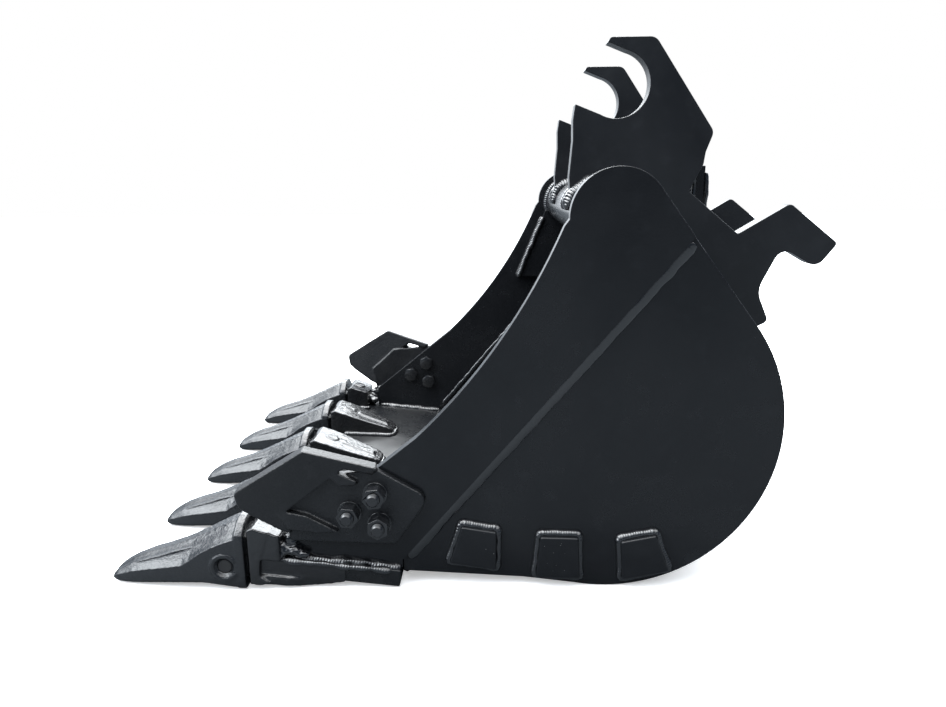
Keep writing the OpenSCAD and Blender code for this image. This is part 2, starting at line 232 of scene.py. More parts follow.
def dress(node, material, bevel=1.2, seg=2):
    """A plate keeps its CAD mesh, with a softened edge and a painted surface."""
    o = N[node]
    o.data.materials.clear()
    o.data.materials.append(material)
    o.data.polygons.foreach_set("use_smooth", [True] * len(o.data.polygons))
    w = o.modifiers.new("weld", "WELD"); w.merge_threshold = 0.00002
    d = o.modifiers.new("planar", "DECIMATE"); d.decimate_type = "DISSOLVE"; d.angle_limit = math.radians(0.4)
    if bevel:
        b = o.modifiers.new("edge", "BEVEL")
        b.width = bevel * MM; b.segments = seg; b.limit_method = "ANGLE"; b.angle_limit = math.radians(32)
        b.use_clamp_overlap = True; b.harden_normals = False; b.miter_outer = "MITER_ARC"
    n = o.modifiers.new("shade", "WEIGHTED_NORMAL"); n.keep_sharp = True; n.weight = 90
    return o


def hull_mesh(bm, verts, faces):
    vs = [bm.verts.new(Vector(v) * MM) for v in verts]
    for f in faces:
        bm.faces.new([vs[i] for i in f])


def prism(bm, outline, y0, y1):
    """Closed prism of an XZ outline between two Y values, mm."""
    n = len(outline)
    v = [bm.verts.new((x * MM, y0 * MM, z * MM)) for x, z in outline] + [bm.verts.new((x * MM, y1 * MM, z * MM)) for x, z in outline]
    bm.faces.new(v[:n]); bm.faces.new(v[n:][::-1])
    for i in range(n):
        j = (i + 1) % n
        bm.faces.new((v[i], v[j], v[n + j], v[n + i]))


def rod(bm, c, axis, r, length, seg=40, dome=0.0):
    """Closed rod about c, mm, along axis, with an optional domed end."""
    a = Vector(axis).normalized()
    u = a.orthogonal().normalized(); w = a.cross(u)
    c = Vector(c)
    rings = [(-length / 2, r), (length / 2 - dome, r)]
    if dome:
        rings += [(length / 2 - dome * 0.4, r * 0.93), (length / 2, r * 0.74)]
    loops = []
    for t, rr in rings:
        loops.append([bm.verts.new((c + a * t + (u * math.cos(k * math.tau / seg) + w * math.sin(k * math.tau / seg)) * rr) * MM) for k in range(seg)])
    bm.faces.new(loops[0]); bm.faces.new(loops[-1][::-1])
    for p, q in zip(loops, loops[1:]):
        for k in range(seg):
            bm.faces.new((p[k], p[(k + 1) % seg], q[(k + 1) % seg], q[k]))


def blob(bm, c, r, flat=(1, 1, 1), seed=0):
    s = bmesh.ops.create_icosphere(bm, subdivisions=3, radius=1.0)
    for v in s["verts"]:
        d = 1 + 0.22 * noise.noise(v.co * 2.3 + Vector((seed * 3.1, seed, 0)))
        v.co = Vector(((c[0] + v.co.x * r * flat[0] * d) * MM, (c[1] + v.co.y * r * flat[1] * d) * MM, (c[2] + v.co.z * r * flat[2] * d) * MM))


def remeshed(name, bm, voxel, smooth, amp, scale, keep=None):
    """One skin over overlapping solids, with rounded cast edges and an uneven surface. Sizes in mm."""
    me = bpy.data.meshes.new(name + "_raw")
    bm.to_mesh(me); bm.free()
    o = bpy.data.objects.new(name + "_raw", me)
    coll.objects.link(o)
    r = o.modifiers.new("skin", "REMESH"); r.mode = "VOXEL"; r.voxel_size = voxel * MM; r.adaptivity = 0.0
    s = o.modifiers.new("soft", "SMOOTH"); s.factor = 0.5; s.iterations = smooth
    dg = bpy.context.evaluated_depsgraph_get()
    out = bpy.data.meshes.new_from_object(o.evaluated_get(dg))
    bpy.data.objects.remove(o)
    normals = [v.normal.copy() for v in out.vertices]
    for v, n in zip(out.vertices, normals):
        p = v.co * scale
        d = noise.noise(p) * 0.6 + noise.noise(p * 2.7) * 0.3 + noise.noise(p * 6.1) * 0.15
        v.co += n * (d * amp * MM)
    out.update()
    return out


def cad_bm(node):
    bm = bmesh.new()
    bm.from_mesh(N[node].data)
    bmesh.ops.remove_doubles(bm, verts=bm.verts, dist=0.00002)
    return bm


# ------------------------------------------------------------------ weld beads
def resample(points, step):
    pts = [Vector(p) for p in points]
    out, acc = [pts[0]], 0.0
    lengths = [(b - a).length for a, b in zip(pts, pts[1:])]
    total = sum(lengths)
    n = max(6, int(total / step))
    for i in range(1, n + 1):
        d = total * i / n
        k = 0
        while k < len(lengths) - 1 and d > lengths[k]:
            d -= lengths[k]; k += 1
        out.append(pts[k] + (pts[k + 1] - pts[k]) * min(1, d / max(1e-9, lengths[k])))
    return out, total


class Beads:
    """Rippled weld beads, gathered into one mesh."""
    def __init__(self):
        self.v, self.f, self.k = [], [], 0

    def run(self, points, normals, w, h, pitch=3.2, ripple=0.16, wobble=0.18, sink=1.4, closed=False, around=11, step=0.85):
        self.k += 1
        seed = self.k * 7.31
        if closed:
            points = list(points) + [points[0]]
        pts, total = resample(points, step)
        if not isinstance(normals, list):
            normals = [normals] * len(points)
        elif closed:
            normals = list(normals) + [normals[0]]
        src = [Vector(p) for p in points]
        n = len(pts)
        # normals follow the nearest given points
        marks, s = [0.0], 0.0
        for a, b in zip(src, src[1:]):
            s += (b - a).length; marks.append(s)
        base = len(self.v)
        rows = 0
        last = n - 1 if closed else n
        for i in range(last):
            s = total * i / (n - 1)
            j = 0
            while j < len(marks) - 2 and s > marks[j + 1]:
                j += 1
            t = (s - marks[j]) / max(1e-9, marks[j + 1] - marks[j])
            nr = Vector(normals[j]).normalized().lerp(Vector(normals[j + 1]).normalized(), min(1, max(0, t))).normalized()
            if closed:
                tg = (pts[(i + 1) % (n - 1)] - pts[(i - 1) % (n - 1)]).normalized()
            else:
                tg = (pts[min(n - 1, i + 1)] - pts[max(0, i - 1)]).normalized()
            nr = (nr - tg * nr.dot(tg)).normalized()
            sd = tg.cross(nr)
            end = 1.0
            if not closed:
                e = max(0.0, min(s, total - s))
                end = min(1.0, 0.35 + 0.65 * math.sqrt(min(1.0, e / (w * 0.6))))
            q = noise.noise(Vector((s * 0.09, seed, 0)))
            q2 = noise.noise(Vector((s * 0.05, seed, 9)))
            ww = w * end * (1 + wobble * q) / 2
            hh = h * end * (1 + wobble * q2)
            shift = w * 0.10 * noise.noise(Vector((s * 0.07, seed, 5)))
            for k in range(around):
                a = math.pi * k / (around - 1)
                x = math.cos(a)
                ph = (s + 0.42 * w * x * x * 0.6) / pitch + 0.3 * noise.noise(Vector((s * 0.2, seed, 2)))
                saw = ph - math.floor(ph)
                rp = 1 + ripple * (0.5 - abs(2 * saw - 1)) * (1 if k not in (0, around - 1) else 0.3)
                y = math.sin(a) ** 0.85 if math.sin(a) > 0 else 0
                p = pts[i] + sd * (x * ww * (0.97 + 0.03 * rp) + shift) + nr * (y * hh * rp)
                self.v.append(p * MM)
            for x in (-0.8, 0.8):
                self.v.append((pts[i] + sd * (x * ww + shift) - nr * sink) * MM)
            rows += 1
        m = around + 2
        ring = list(range(around)) + [around, around + 1]
        for i in range(rows if closed else rows - 1):
            a, b = base + i * m, base + ((i + 1) % rows) * m
            for k in range(m):
                k2 = (k + 1) % m
                self.f.append((a + ring[k], a + ring[k2], b + ring[k2], b + ring[k]))
        if not closed:
            self.f.append(tuple(base + r for r in ring)[::-1])
            self.f.append(tuple(base + (rows - 1) * m + r for r in ring))

    def both(self, points, normals, *a, **k):
        self.run(points, normals, *a, **k)
        mp = [(p[0], -p[1], p[2]) for p in points]
        mn = [(q[0], -q[1], q[2]) for q in normals] if isinstance(normals, list) else (normals[0], -normals[1], normals[2])
        self.run(mp, mn, *a, **k)

    def make(self, name, material=None):
        return new_object(name, self.v, self.f, material or M_WELD, "bucket")


# ------------------------------------------------------------------ CAD plates that stay
for n in ("side_plate_left", "side_plate_right", "side_edge_left", "side_edge_right"):
    dress(n, M_PLATE, 1.1)
dress("shell_wrapper", M_PLATE, 1.0)
dress("lip_plate", M_LIP, 1.6)
for n in ("torque_tube", "tube_gusset_left", "tube_gusset_right", "ear_cross_plate"):
    dress(n, M_PLATE, 1.0)
for n in ("hitch_ear_left", "hitch_ear_right"):
    dress(n, M_EAR, 1.4)
for n in ("side_pads_left", "side_pads_right"):
    dress(n, M_PLATE, 2.2, 3)
for n in ("cutter_washers_left", "cutter_washers_right"):
    dress(n, M_FAST, 0.5)
for n in ("cutter_nuts_left", "cutter_nuts_right"):
    dress(n, M_FAST, 0.7)
for i in range(1, 6):
    dress("lock_pin_%d" % i, M_PIN, 1.4, 3)
    dress("pin_retainer_%d" % i, M_RUBBER, 0.8)

# ------------------------------------------------------------------ tooth points
# sections from the tip back: x, underside, half width, top of the flank, shoulder, crown
BLADE = [(-469.5, 3.6, 17, 7.5, 13, 9.6, 5, 10.2), (-467.6, 1.8, 19, 9.6, 14.6, 12.2, 5.5, 13), (-462, 0.7, 20.8, 11.8, 16, 16.2, 6, 17.6), (-455, 0.3, 22, 13.5, 16.5, 19.5, 6, 22),
    (-443, 0.8, 24.5, 18, 16.5, 25.5, 6, 29), (-428, 2.0, 27, 21.5, 16.5, 31, 6.5, 34.8), (-412, 3.5, 29, 24.5, 17, 35.5, 7, 39.5), (-392, 5, 31, 27.5, 18, 42, 7, 46),
    (-374, 6, 32.5, 30.5, 18, 47, 8, 53), (-364, 6.5, 33, 37, 18.5, 50, 8, 57.5), (-347, 7, 34, 49.5, 22, 57, 9, 65),
    (-331, 5.5, 35, 58.5, 25, 64, 10, 72.5), (-315, 3.5, 35.6, 65, 27, 70, 12, 80), (-297, 1.5, 35.6, 71, 28, 75, 14, 86.5)]


def loft(bm, rings):
    loops = [[bm.verts.new(Vector(p) * MM) for p in r] for r in rings]
    n = len(loops[0])
    bm.faces.new(loops[0]); bm.faces.new(loops[-1][::-1])
    for a, b in zip(loops, loops[1:]):
        for k in range(n):
            bm.faces.new((a[k], a[(k + 1) % n], b[(k + 1) % n], b[k]))


def blade_ring(x, zb, w, za, yb, zbb, yc, zc):
    h = [(0, zb), (w - 4, zb + 0.2), (w, zb + min(4, (za - zb) * 0.5)), (w, za), ((w + yb) / 2, (za + zbb) / 2 - 0.9), (yb, zbb), ((yb + yc) / 2, (zbb + zc) / 2 - 0.8), (yc, zc), (0, zc + 0.6)]
    left = [(-y, z) for y, z in h[1:-1]][::-1]
    return [(x, y, z) for y, z in h + left]


def cut(me, build, name):
    """Boolean difference of a finished skin with solids made by build(bm)."""
    a = bpy.data.objects.new(name + "_a", me); coll.objects.link(a)
    bm = bmesh.new(); build(bm)
    bmesh.ops.recalc_face_normals(bm, faces=bm.faces)
    mb = bpy.data.meshes.new(name + "_b"); bm.to_mesh(mb); bm.free()
    b = bpy.data.objects.new(name + "_b", mb); coll.objects.link(b)
    md = a.modifiers.new("cut", "BOOLEAN"); md.operation = "DIFFERENCE"; md.solver = "EXACT"; md.object = b; md.use_self = True
    out = bpy.data.meshes.new_from_object(a.evaluated_get(bpy.context.evaluated_depsgraph_get()))
    bpy.data.objects.remove(a); bpy.data.objects.remove(b)
    return out


def tooth_mesh():
    bm = bmesh.new()
    loft(bm, [blade_ring(*r) for r in BLADE])
    # collar with its raised lip
    col = [(-36, 9), (-35.4, 5), (-33, 2), (-28, 1), (28, 1), (33, 2), (35.4, 5), (36, 9), (36, 68), (35, 73), (31, 78), (22, 85), (16, 88.5), (9, 90), (-9, 90), (-16, 88.5), (-22, 85), (-31, 78), (-35, 73), (-36, 68)]
    loft(bm, [[(x, y * k, 40 + (z - 40) * k) for y, z in col] for x, k in ((-304.5, 0.965), (-302.5, 1.0), (-293.5, 1.0), (-292.5, 0.99))])
    # side bosses and the ring about the pin, open towards the rear
    for s in (-1, 1):
        rod(bm, (PC[0], s * 30, PC[1]), (0, s, 0), 17.5, 11.4, 48)
        loops = []
        for k in range(45):
            a = math.radians(30 + 300 * k / 44)
            c = Vector((PC[0] + 15.6 * math.cos(a), s * 35.4, PC[1] + 15.6 * math.sin(a)))
            rad = Vector((math.cos(a), 0, math.sin(a)))
            loops.append([bm.verts.new((c + rad * (2.7 * math.cos(t * math.tau / 10)) + Vector((0, s * 2.2 * math.sin(t * math.tau / 10), 0))) * MM) for t in range(10)])
        for p, q in zip(loops, loops[1:]):
            for t in range(10):
                bm.faces.new((p[t], p[(t + 1) % 10], q[(t + 1) % 10], q[t]))
        bm.faces.new(loops[0]); bm.faces.new(loops[-1][::-1])
    # ribs along the shoulders and the crown
    for s in (-1, 1):
        for rows, r in (([(b[0], s * b[4], b[5] - 0.8) for b in BLADE[4:11]], 1.7),):
            loops = []
            for i, p in enumerate(rows):
                c = Vector(p)
                rr = r * (0.4 if i in (0, len(rows) - 1) else 1)
                loops.append([bm.verts.new((c + Vector((0, rr * math.cos(t * math.tau / 8), rr * math.sin(t * math.tau / 8)))) * MM) for t in range(8)])
            for p, q in zip(loops, loops[1:]):
                for t in range(8):
                    bm.faces.new((p[t], p[(t + 1) % 8], q[(t + 1) % 8], q[t]))
            bm.faces.new(loops[0]); bm.faces.new(loops[-1][::-1])
    bmesh.ops.recalc_face_normals(bm, faces=bm.faces)
    me = remeshed("tooth", bm, 1.2, 4, 0.34, 210)
    # pebbled crown towards the rear
    for v in me.vertices:
        x, y, z = v.co / MM
        if -372 < x < -304 and abs(y) < 22 and z > 45:
            w = min(1, (x + 372) / 14, (-304 - x) / 5, (22 - abs(y)) / 4)
            p = v.co * 330
            v.co.z += MM * w * 0.9 * max(0, noise.noise(p) + 0.15)
    me.update()

    def tools(bm):
        pts = []
        for x, z0, z1, h in ((-398.5, 17.5, 28.5, 10.5), (-384, 12.6, 37.4, 14.2), (-285, 10.4, 68, 22.9)):
            pts.append([(x, -h, z0), (x, h, z0), (x, h, z1), (x, -h, z1)])
        loft(bm, pts)
        rod(bm, (PC[0], 0, PC[1]), (0, 1, 0), 9.5, 90, 48)
        for s in (-1, 1):
            rod(bm, (PC[0], s * 38, PC[1]), (0, s, 0), 12.4, 9, 48)
    return cut(me, tools, "tooth")


tm = tooth_mesh()
for i in range(1, 6):
    me = tm.copy() if i != 3 else tm
    me.transform(Matrix.Translation((0, (i - 3) * PITCH * MM, 0)))
    o = mesh_object("tooth_point_%d" % i, me, M_TOOTH, "bucket")
    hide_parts("tooth_%d" % i)

# ------------------------------------------------------------------ adapters
def adapter_mesh(node, end):
    bm = cad_bm(node)
    y = {"adapter_1": -300, "adapter_2": -150, "adapter_3": 0, "adapter_4": 150, "adapter_5": 300}[node]
    if end:
        # flat side of the lower leg, run out flush with the end of the lip
        prism(bm, [(-274, 44), (-274, 3.5), (-236, 3.8), (-200, 5.0), (-172, 7.5), (-170, 12), (-170, lip_z(-170) - 1.2), (-240, lip_z(-240) - 1.2)], y - 26.3, y - 8)
    bmesh.ops.recalc_face_normals(bm, faces=bm.faces)
    me = remeshed(node, bm, 1.4, 5, 0.45, 170)
    bx = -268 if end else -258
    facing = [v.normal.z for v in me.vertices]
    for v, nz in zip(me.vertices, facing):
        x, yy, z = v.co / MM
        if nz > 0.35 and z > 30:
            d = math.hypot(x - bx, yy - y)
            lift = 1.9 * max(0.0, min(1.0, (11.5 - d) / 1.8)) - 0.9 * max(0.0, min(1.0, (7.0 - d) / 1.6))
            if not end and -243 < x < -186:
                lift += 1.8 * max(0.0, min(1.0, (8.5 - abs(yy - y)) / 2.2, (x + 243) / 4, (-186 - x) / 4))
            v.co.z += lift * MM
    me.update()
    return me


am = adapter_mesh("adapter_3", False)
em = adapter_mesh("adapter_1", True)
for i in range(1, 6):
    if i in (1, 5):
        me = em if i == 1 else em.copy()
        if i == 5:
            me.transform(Matrix.Scale(-1, 4, (0, 1, 0)))
            me.flip_normals()
    else:
        me = am if i == 3 else am.copy()
        me.transform(Matrix.Translation((0, (i - 3) * PITCH * MM, 0)))
    o = mesh_object("adapter_body_%d" % i, me, M_ADAPT, "bucket")
    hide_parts("adapter_%d" % i)

# ------------------------------------------------------------------ side cutters
cm = remeshed("cutter", cad_bm("side_cutter_left"), 1.3, 4, 0.32, 260)
for side, s in (("left", 1), ("right", -1)):
    me = cm if s == 1 else cm.copy()
    if s == -1:
        me.transform(Matrix.Scale(-1, 4, (0, 1, 0)))
        me.flip_normals()
    o = mesh_object("cutter_" + side, me, M_CUT, "bucket")
    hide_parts("side_cutter_" + side)


# ------------------------------------------------------------------ cutter bolts with threads
def lathe(bm, c, profile, seg=36):
    """Profile is a list of (radius, y), mm; closed at both ends."""
    loops = []
    for r, y in profile:
        loops.append([bm.verts.new(((c[0] + r * math.cos(k * math.tau / seg)) * MM, y * MM, (c[1] + r * math.sin(k * math.tau / seg)) * MM)) for k in range(seg)])
    bm.faces.new(loops[0]); bm.faces.new(loops[-1][::-1])
    for p, q in zip(loops, loops[1:]):
        for k in range(seg):
            bm.faces.new((p[k], q[k], q[(k + 1) % seg], p[(k + 1) % seg]))


def bolts(side, s):
    bm = bmesh.new()
    for c in BOLTS:
        prof = [(5.9, -350.0), (7.2, -348.6)]
        y = -348.2
        while y < -327:
            prof += [(6.9, y), (7.95, y + 0.8), (7.95, y + 1.15)]
            y += 2.0
        prof += [(7.9, -326.0), (7.9, -301)]
        # hexagon head inside the bucket
        lathe(bm, c, prof + [(7.9, -300.5)])
        a = 24 / math.sqrt(3)
        turn = math.radians(12 + 17 * BOLTS.index(c))
        loops = []
        for r, yy in ((0.98, -301.0), (1.0, -300.4), (1.0, -293.0), (0.93, -291.5), (0.84, -291.0)):
            row = []
            for k in range(36):
                ang = k * math.tau / 36 + turn
                kk = ((ang - turn) % (math.tau / 6)) - math.tau / 12
                hexr = 12 / math.cos(kk)
                rr = min(hexr, a * r) if r < 0.95 else hexr * r
                row.append(bm.verts.new(((c[0] + rr * math.cos(ang)) * MM, yy * MM, (c[1] + rr * math.sin(ang)) * MM)))
            loops.append(row)
        bm.faces.new(loops[0]); bm.faces.new(loops[-1][::-1])
        for p, q in zip(loops, loops[1:]):
            for k in range(36):
                bm.faces.new((p[k], q[k], q[(k + 1) % 36], p[(k + 1) % 36]))
    bmesh.ops.recalc_face_normals(bm, faces=bm.faces)
    if s < 0:
        bmesh.ops.transform(bm, matrix=Matrix.Scale(-1, 4, (0, 1, 0)), verts=bm.verts)
        bmesh.ops.reverse_faces(bm, faces=bm.faces)
    me = bpy.data.meshes.new("bolts_" + side)
    bm.to_mesh(me); bm.free()
    me.set_sharp_from_angle(angle=math.radians(38))
    o = mesh_object("bolts_" + side, me, M_FAST, "bucket")
    me.set_sharp_from_angle(angle=math.radians(38))
    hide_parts("cutter_bolts_" + side)


bolts("left", 1)
bolts("right", -1)

# ------------------------------------------------------------------ welds
# seam between the side plates, outside and inside
d = (Vector(ST) - Vector(SB)).normalized()
off = Vector((d.y, -d.x))
seam = []
for k in range(0, 30):
    t = 0.012 + 0.976 * k / 29
    p = Vector(SB).lerp(Vector(ST), t) + off * 3.0
    seam.append(p)
b = Beads()
b.both([(p.x + off.x * 1.6, -HR - 0.6, p.y + off.y * 1.6) for p in seam], (0.2 * off.x, -1, 0.2 * off.y), 13.0, 2.0, pitch=4.2, ripple=0.08, wobble=0.12, sink=1.0)
b.make("weld_seam_outer")
b = Beads()
b.both([(p.x - off.x * 3, -HI + 0.1, p.y - off.y * 3) for p in seam[:26]], (0, 1, 0), 9.0, 2.8, pitch=3.6, sink=1.0)
b.make("weld_seam_inner")

# wear pads
def pad_pts(cx, cz, rot, w0, w1, h, grow=0.8, r=4.0):
    q = [(-w0 / 2 - grow, h / 2 + grow), (w0 / 2 + grow, h / 2 + grow), (w1 / 2 + grow, -h / 2 - grow), (-w1 / 2 - grow, -h / 2 - grow)]
    ca, sa = math.cos(math.radians(rot)), math.sin(math.radians(rot))
    pts, nrm = [], []
    n = len(q)
    for i in range(n):
        a, p, c = Vector(q[i - 1]), Vector(q[i]), Vector(q[(i + 1) % n])
        u, v = (a - p).normalized(), (c - p).normalized()
        for t in range(5):
            s = t / 4
            m = p + u * r * (1 - s) ** 2 + v * r * s ** 2
            pts.append(m)
        if (c - p).length > 3 * r:
            e = c - (c - p).normalized() * r
            s0 = p + v * r
            for t in (0.25, 0.5, 0.75):
                pts.append(s0.lerp(e, t))
    out = []
    for m in pts:
        g = Vector((m.x, m.y)).normalized()
        out.append(((cx + m.x * ca - m.y * sa, -HR - 0.8, cz + m.x * sa + m.y * ca), (g.x * ca - g.y * sa, -1.0, g.x * sa + g.y * ca)))
    return [o[0] for o in out], [o[1] for o in out]


b = Beads()
for cx, cz, rot, w0, w1, h in ((-9, 54, -9, 43, 58, 50), (92, 42, -1, 46, 54, 54), (193, 44, 12, 43, 58, 50)):
    p, n = pad_pts(cx, cz, rot, w0, w1, h)
    b.both(p, n, 10.0, 5.4, pitch=3.0, ripple=0.22, wobble=0.35, closed=True, sink=1.5)
b.make("weld_side_pads")

# lip to the side plates, outside and inside, and lip to the floor
b = Beads()
xs = [-226 + k * 4.4 for k in range(29)]
b.both([(x, -HY - 1.0, lip_z(x) + 0.6) for x in xs], (0, -1, 1.1), 12, 5.6, pitch=3.4, ripple=0.3, wobble=0.8, sink=2)
b.both([(x, -HI + 1.0, lip_z(x) + 0.6) for x in xs], (0, 1, 1.1), 12, 5.0, pitch=3.4, ripple=0.2, wobble=0.4, sink=2)
b.make("weld_lip_sides")
b = Beads()
b.run([(-99.5, y, 28.0) for y in range(-288, 290, 12)], (-0.35, 0, 1), 15, 3.4, pitch=4.0, wobble=0.2, sink=3)
b.run([(-101.5, y, lip_z(-101.5) - 21.0) for y in range(-288, 290, 12)], (-0.5, 0, -1), 11, 1.8, pitch=4.0, wobble=0.2, sink=2)
b.make("weld_lip_floor")

# wrapper to the side plates, inside
def inner_profile():
    pts = [(-96, 27.6), (-40, 24.0), (20, 21.0), (50, 20.2)]
    for k in range(0, 31):
        a = math.radians(-97 + k * (97 + 52) / 30)
        pts.append((C1[0] + 195 * math.cos(a), C1[1] + 195 * math.sin(a)))
    out = []
    for i, p in enumerate(pts):
        a, c = pts[max(0, i - 1)], pts[min(len(pts) - 1, i + 1)]
        t = Vector((c[0] - a[0], c[1] - a[1])).normalized()
        out.append((p, (-t.y, t.x)))
    return out


b = Beads()
prof = inner_profile()
b.both([(p[0] + q[0] * 1.0, -HI + 1.0, p[1] + q[1] * 1.0) for p, q in prof], [(q[0], 1.0, q[1]) for p, q in prof], 11, 4.2, pitch=3.6, wobble=0.25, sink=2)
b.make("weld_wrapper_inner")

# torque tube to the side plates
b = Beads()
ring = [math.radians(a) for a in range(0, 360, 12)]
b.both([(TC[0] + (TR + 0.8) * math.cos(a), -HI + 1.0, TC[1] + (TR + 0.8) * math.sin(a)) for a in ring], [(math.cos(a), 1.0, math.sin(a)) for a in ring], 12, 5.2, pitch=3.6, wobble=0.3, closed=True, sink=2)
b.make("weld_tube_sides")

# ears to the tube and to the wrapper, cross plate to the ears
b = Beads()
arc = [math.radians(a) for a in range(168, 118, -4)]
for y, s in ((-EO, -1), (-EI, 1)):
    b.both([(TC[0] + (TR + 1.0) * math.cos(a), y + s * 1.0, TC[1] + (TR + 1.0) * math.sin(a)) for a in [math.radians(v) for v in range(176, -20, -6)]],
           [(math.cos(a), s, math.sin(a)) for a in [math.radians(v) for v in range(176, -20, -6)]], 17, 7.5, pitch=4.0, ripple=0.24, wobble=0.5, sink=3)
    xs = [203 + k * 5 for k in range(27)]
    pts, nr = [], []
    for x in xs:
        z = wrap_z(x); z2 = wrap_z(x + 0.5)
        t = Vector((0.5, z2 - z)).normalized()
        pts.append((x, y + s * 1.0, z + 0.6)); nr.append((-t.y, s, t.x))
    b.both(pts, nr, 12, 5.0, pitch=3.6, wobble=0.3, sink=2)
b.both([(297.6, -EI + 1.0, z) for z in range(330, 504, 8)], (1, 1, 0), 10, 4.2, pitch=3.4, wobble=0.25, sink=2)
b.both([(284.4, -EI + 1.0, z) for z in range(340, 504, 8)], (-1, 1, 0), 10, 4.2, pitch=3.4, wobble=0.25, sink=2)
b.make("weld_ears")

# gussets to the side plates and the tube
b = Beads()
g0, g1 = Vector((105, 420)), Vector((57, 304))
pts = [g0.lerp(g1, k / 12) for k in range(13)]
b.both([(p.x - 0.6, -HI + 12.0, p.y) for p in pts], (-0.8, 0.75, 0.3), 11, 4.5, pitch=3.0, ripple=0.3, wobble=0.25, sink=4)
b.both([(p.x - 1.5, -HI + 2.0, p.y) for p in pts], (-1, 0.8, 0.4), 9, 5.0, pitch=3.0, ripple=0.3, wobble=0.25, sink=3)
b.make("weld_gussets")

# adapters to the lip
def leg_path(y, zoff, top):
    if top:
        left = [(-264, 35), (-250, 34.8), (-232, 31.8), (-214, 28.8), (-196, 25.4), (-184, 23)]
        endx = -176
        r = 20
    else:
        left = [(-262, 31), (-240, 30.5), (-215, 26), (-195, 22), (-182, 19)]
        endx = -174
        r = 17
    pts = [(x, y - v) for x, v in left] + [(endx - 1, y - r + 3), (endx + 0.5, y - r + 9), (endx + 0.5, y), (endx + 0.5, y + r - 9), (endx - 1, y + r - 3)] + [(x, y + v) for x, v in left[::-1]]
    s = 1 if top else -1
    out, nr = [], []
    for i, p in enumerate(pts):
        a, c = pts[max(0, i - 1)], pts[min(len(pts) - 1, i + 1)]
        t = Vector((c[0] - a[0], c[1] - a[1])).normalized()
        out.append((p[0], p[1], lip_z(p[0]) + zoff))
        nr.append((t.y, -t.x, s * 1.0))
    return out, nr


b = Beads()
for y in (-150, 0, 150):
    p, n = leg_path(y, 0.8, True)
    b.run(p, n, 10, 5.2, pitch=3.0, ripple=0.24, wobble=0.4, sink=3)
for y in (-150, 0, 150):
    p, n = leg_path(y, -22.9, False)
    b.run(p, n, 9, 4.4, pitch=3.0, ripple=0.2, wobble=0.35, sink=3)
for s in (-1, 1):
    y = s * (300 - 34.5)
    b.run([(x, y, lip_z(x) + 0.8) for x in range(-266, -246, 3)] + [(-245, y + s * 8, lip_z(-245) + 0.8)], (0.2, -s, 1), 10, 5.2, pitch=3.0, ripple=0.24, wobble=0.4, sink=3)
    y = s * (300 + 25)
    # bead along the edge of the lip beside the end adapter
    b.run([(x, s * 325.0, lip_z(x) - 1.0) for x in range(-262, -110, 4)], (0, s, 1), 7, 2.6, pitch=3.2, ripple=0.3, wobble=0.8, sink=3)
b.make("weld_adapters")

# heaped weld between each end adapter and its side plate
for side, s in (("left", -1), ("right", 1)):
    bm = bmesh.new()
    k = 0
    for (x, y, z, r, fl) in ((-246, 309, 50, 15, (1, 1.3, 0.8)), (-238, 313, 60, 11, (1, 1, 0.9)), (-233, 320, 48, 9, (1.2, 1, 0.8)), (-228, 310, 70, 6, (0.8, 1.2, 1.0)),
                             (-252, 322, 44, 9, (1, 1, 0.8)), (-240, 298, 48, 10, (1.2, 1, 0.7)), (-224, 322, 44, 7, (1.5, 0.9, 0.7))):
        k += 1
        blob(bm, (x, s * y, z), r, fl, k + (4 if s > 0 else 0))
    me = remeshed("heap_" + side, bm, 1.0, 5, 0.7, 130)
    mesh_object("weld_heap_" + side, me, M_WELD, "bucket")

# ------------------------------------------------------------------ camera
f = 710.0
Yc = Vector(((498 - 473) / f, (178.8 - 353.5) / f, 1.0)).normalized()
Xc = Vector((Yc.z, 0, -Yc.x)).normalized()
Zc = Xc.cross(Yc)
right = Vector((Xc.x, Yc.x, Zc.x)); up = -Vector((Xc.y, Yc.y, Zc.y)); back = -Vector((Xc.z, Yc.z, Zc.z))
cam = bpy.data.objects.new("camera", bpy.data.cameras.new("camera"))
coll.objects.link(cam)
cam.matrix_world = Matrix(((right.x, up.x, back.x, 0.018), (right.y, up.y, back.y, -1.1075), (right.z, up.z, back.z, 0.492), (0, 0, 0, 1)))
cam.data.sensor_fit = "HORIZONTAL"
cam.data.sensor_width = 36.0
cam.data.lens = f * 36.0 / 946.0
cam.data.clip_start = 0.02
scene.camera = cam

# ------------------------------------------------------------------ floor, world, lights
fm = bpy.data.meshes.new("floor")
bm = bmesh.new()
S, G = 9.0, 24
vs = [[bm.verts.new((-S + 2 * S * i / G, -S + 2 * S * j / G, -0.0005)) for j in range(G + 1)] for i in range(G + 1)]
for i in range(G):
    for j in range(G):
        bm.faces.new((vs[i][j], vs[i + 1][j], vs[i + 1][j + 1], vs[i][j + 1]))
bm.to_mesh(fm); bm.free()
floor = bpy.data.objects.new("floor", fm)
coll.objects.link(floor)
m = Mat("pale_floor")
m.link(m.mix(m.noise(3, 3), (0.86, 0.86, 0.86), (0.89, 0.89, 0.89)), m.b.inputs["Base Color"])
m.b.inputs["Roughness"].default_value = 0.9
m.b.inputs["Specular IOR Level"].default_value = 0.1
m.b.inputs["Emission Color"].default_value = (1, 1, 1, 1)
m.b.inputs["Emission Strength"].default_value = 0.42
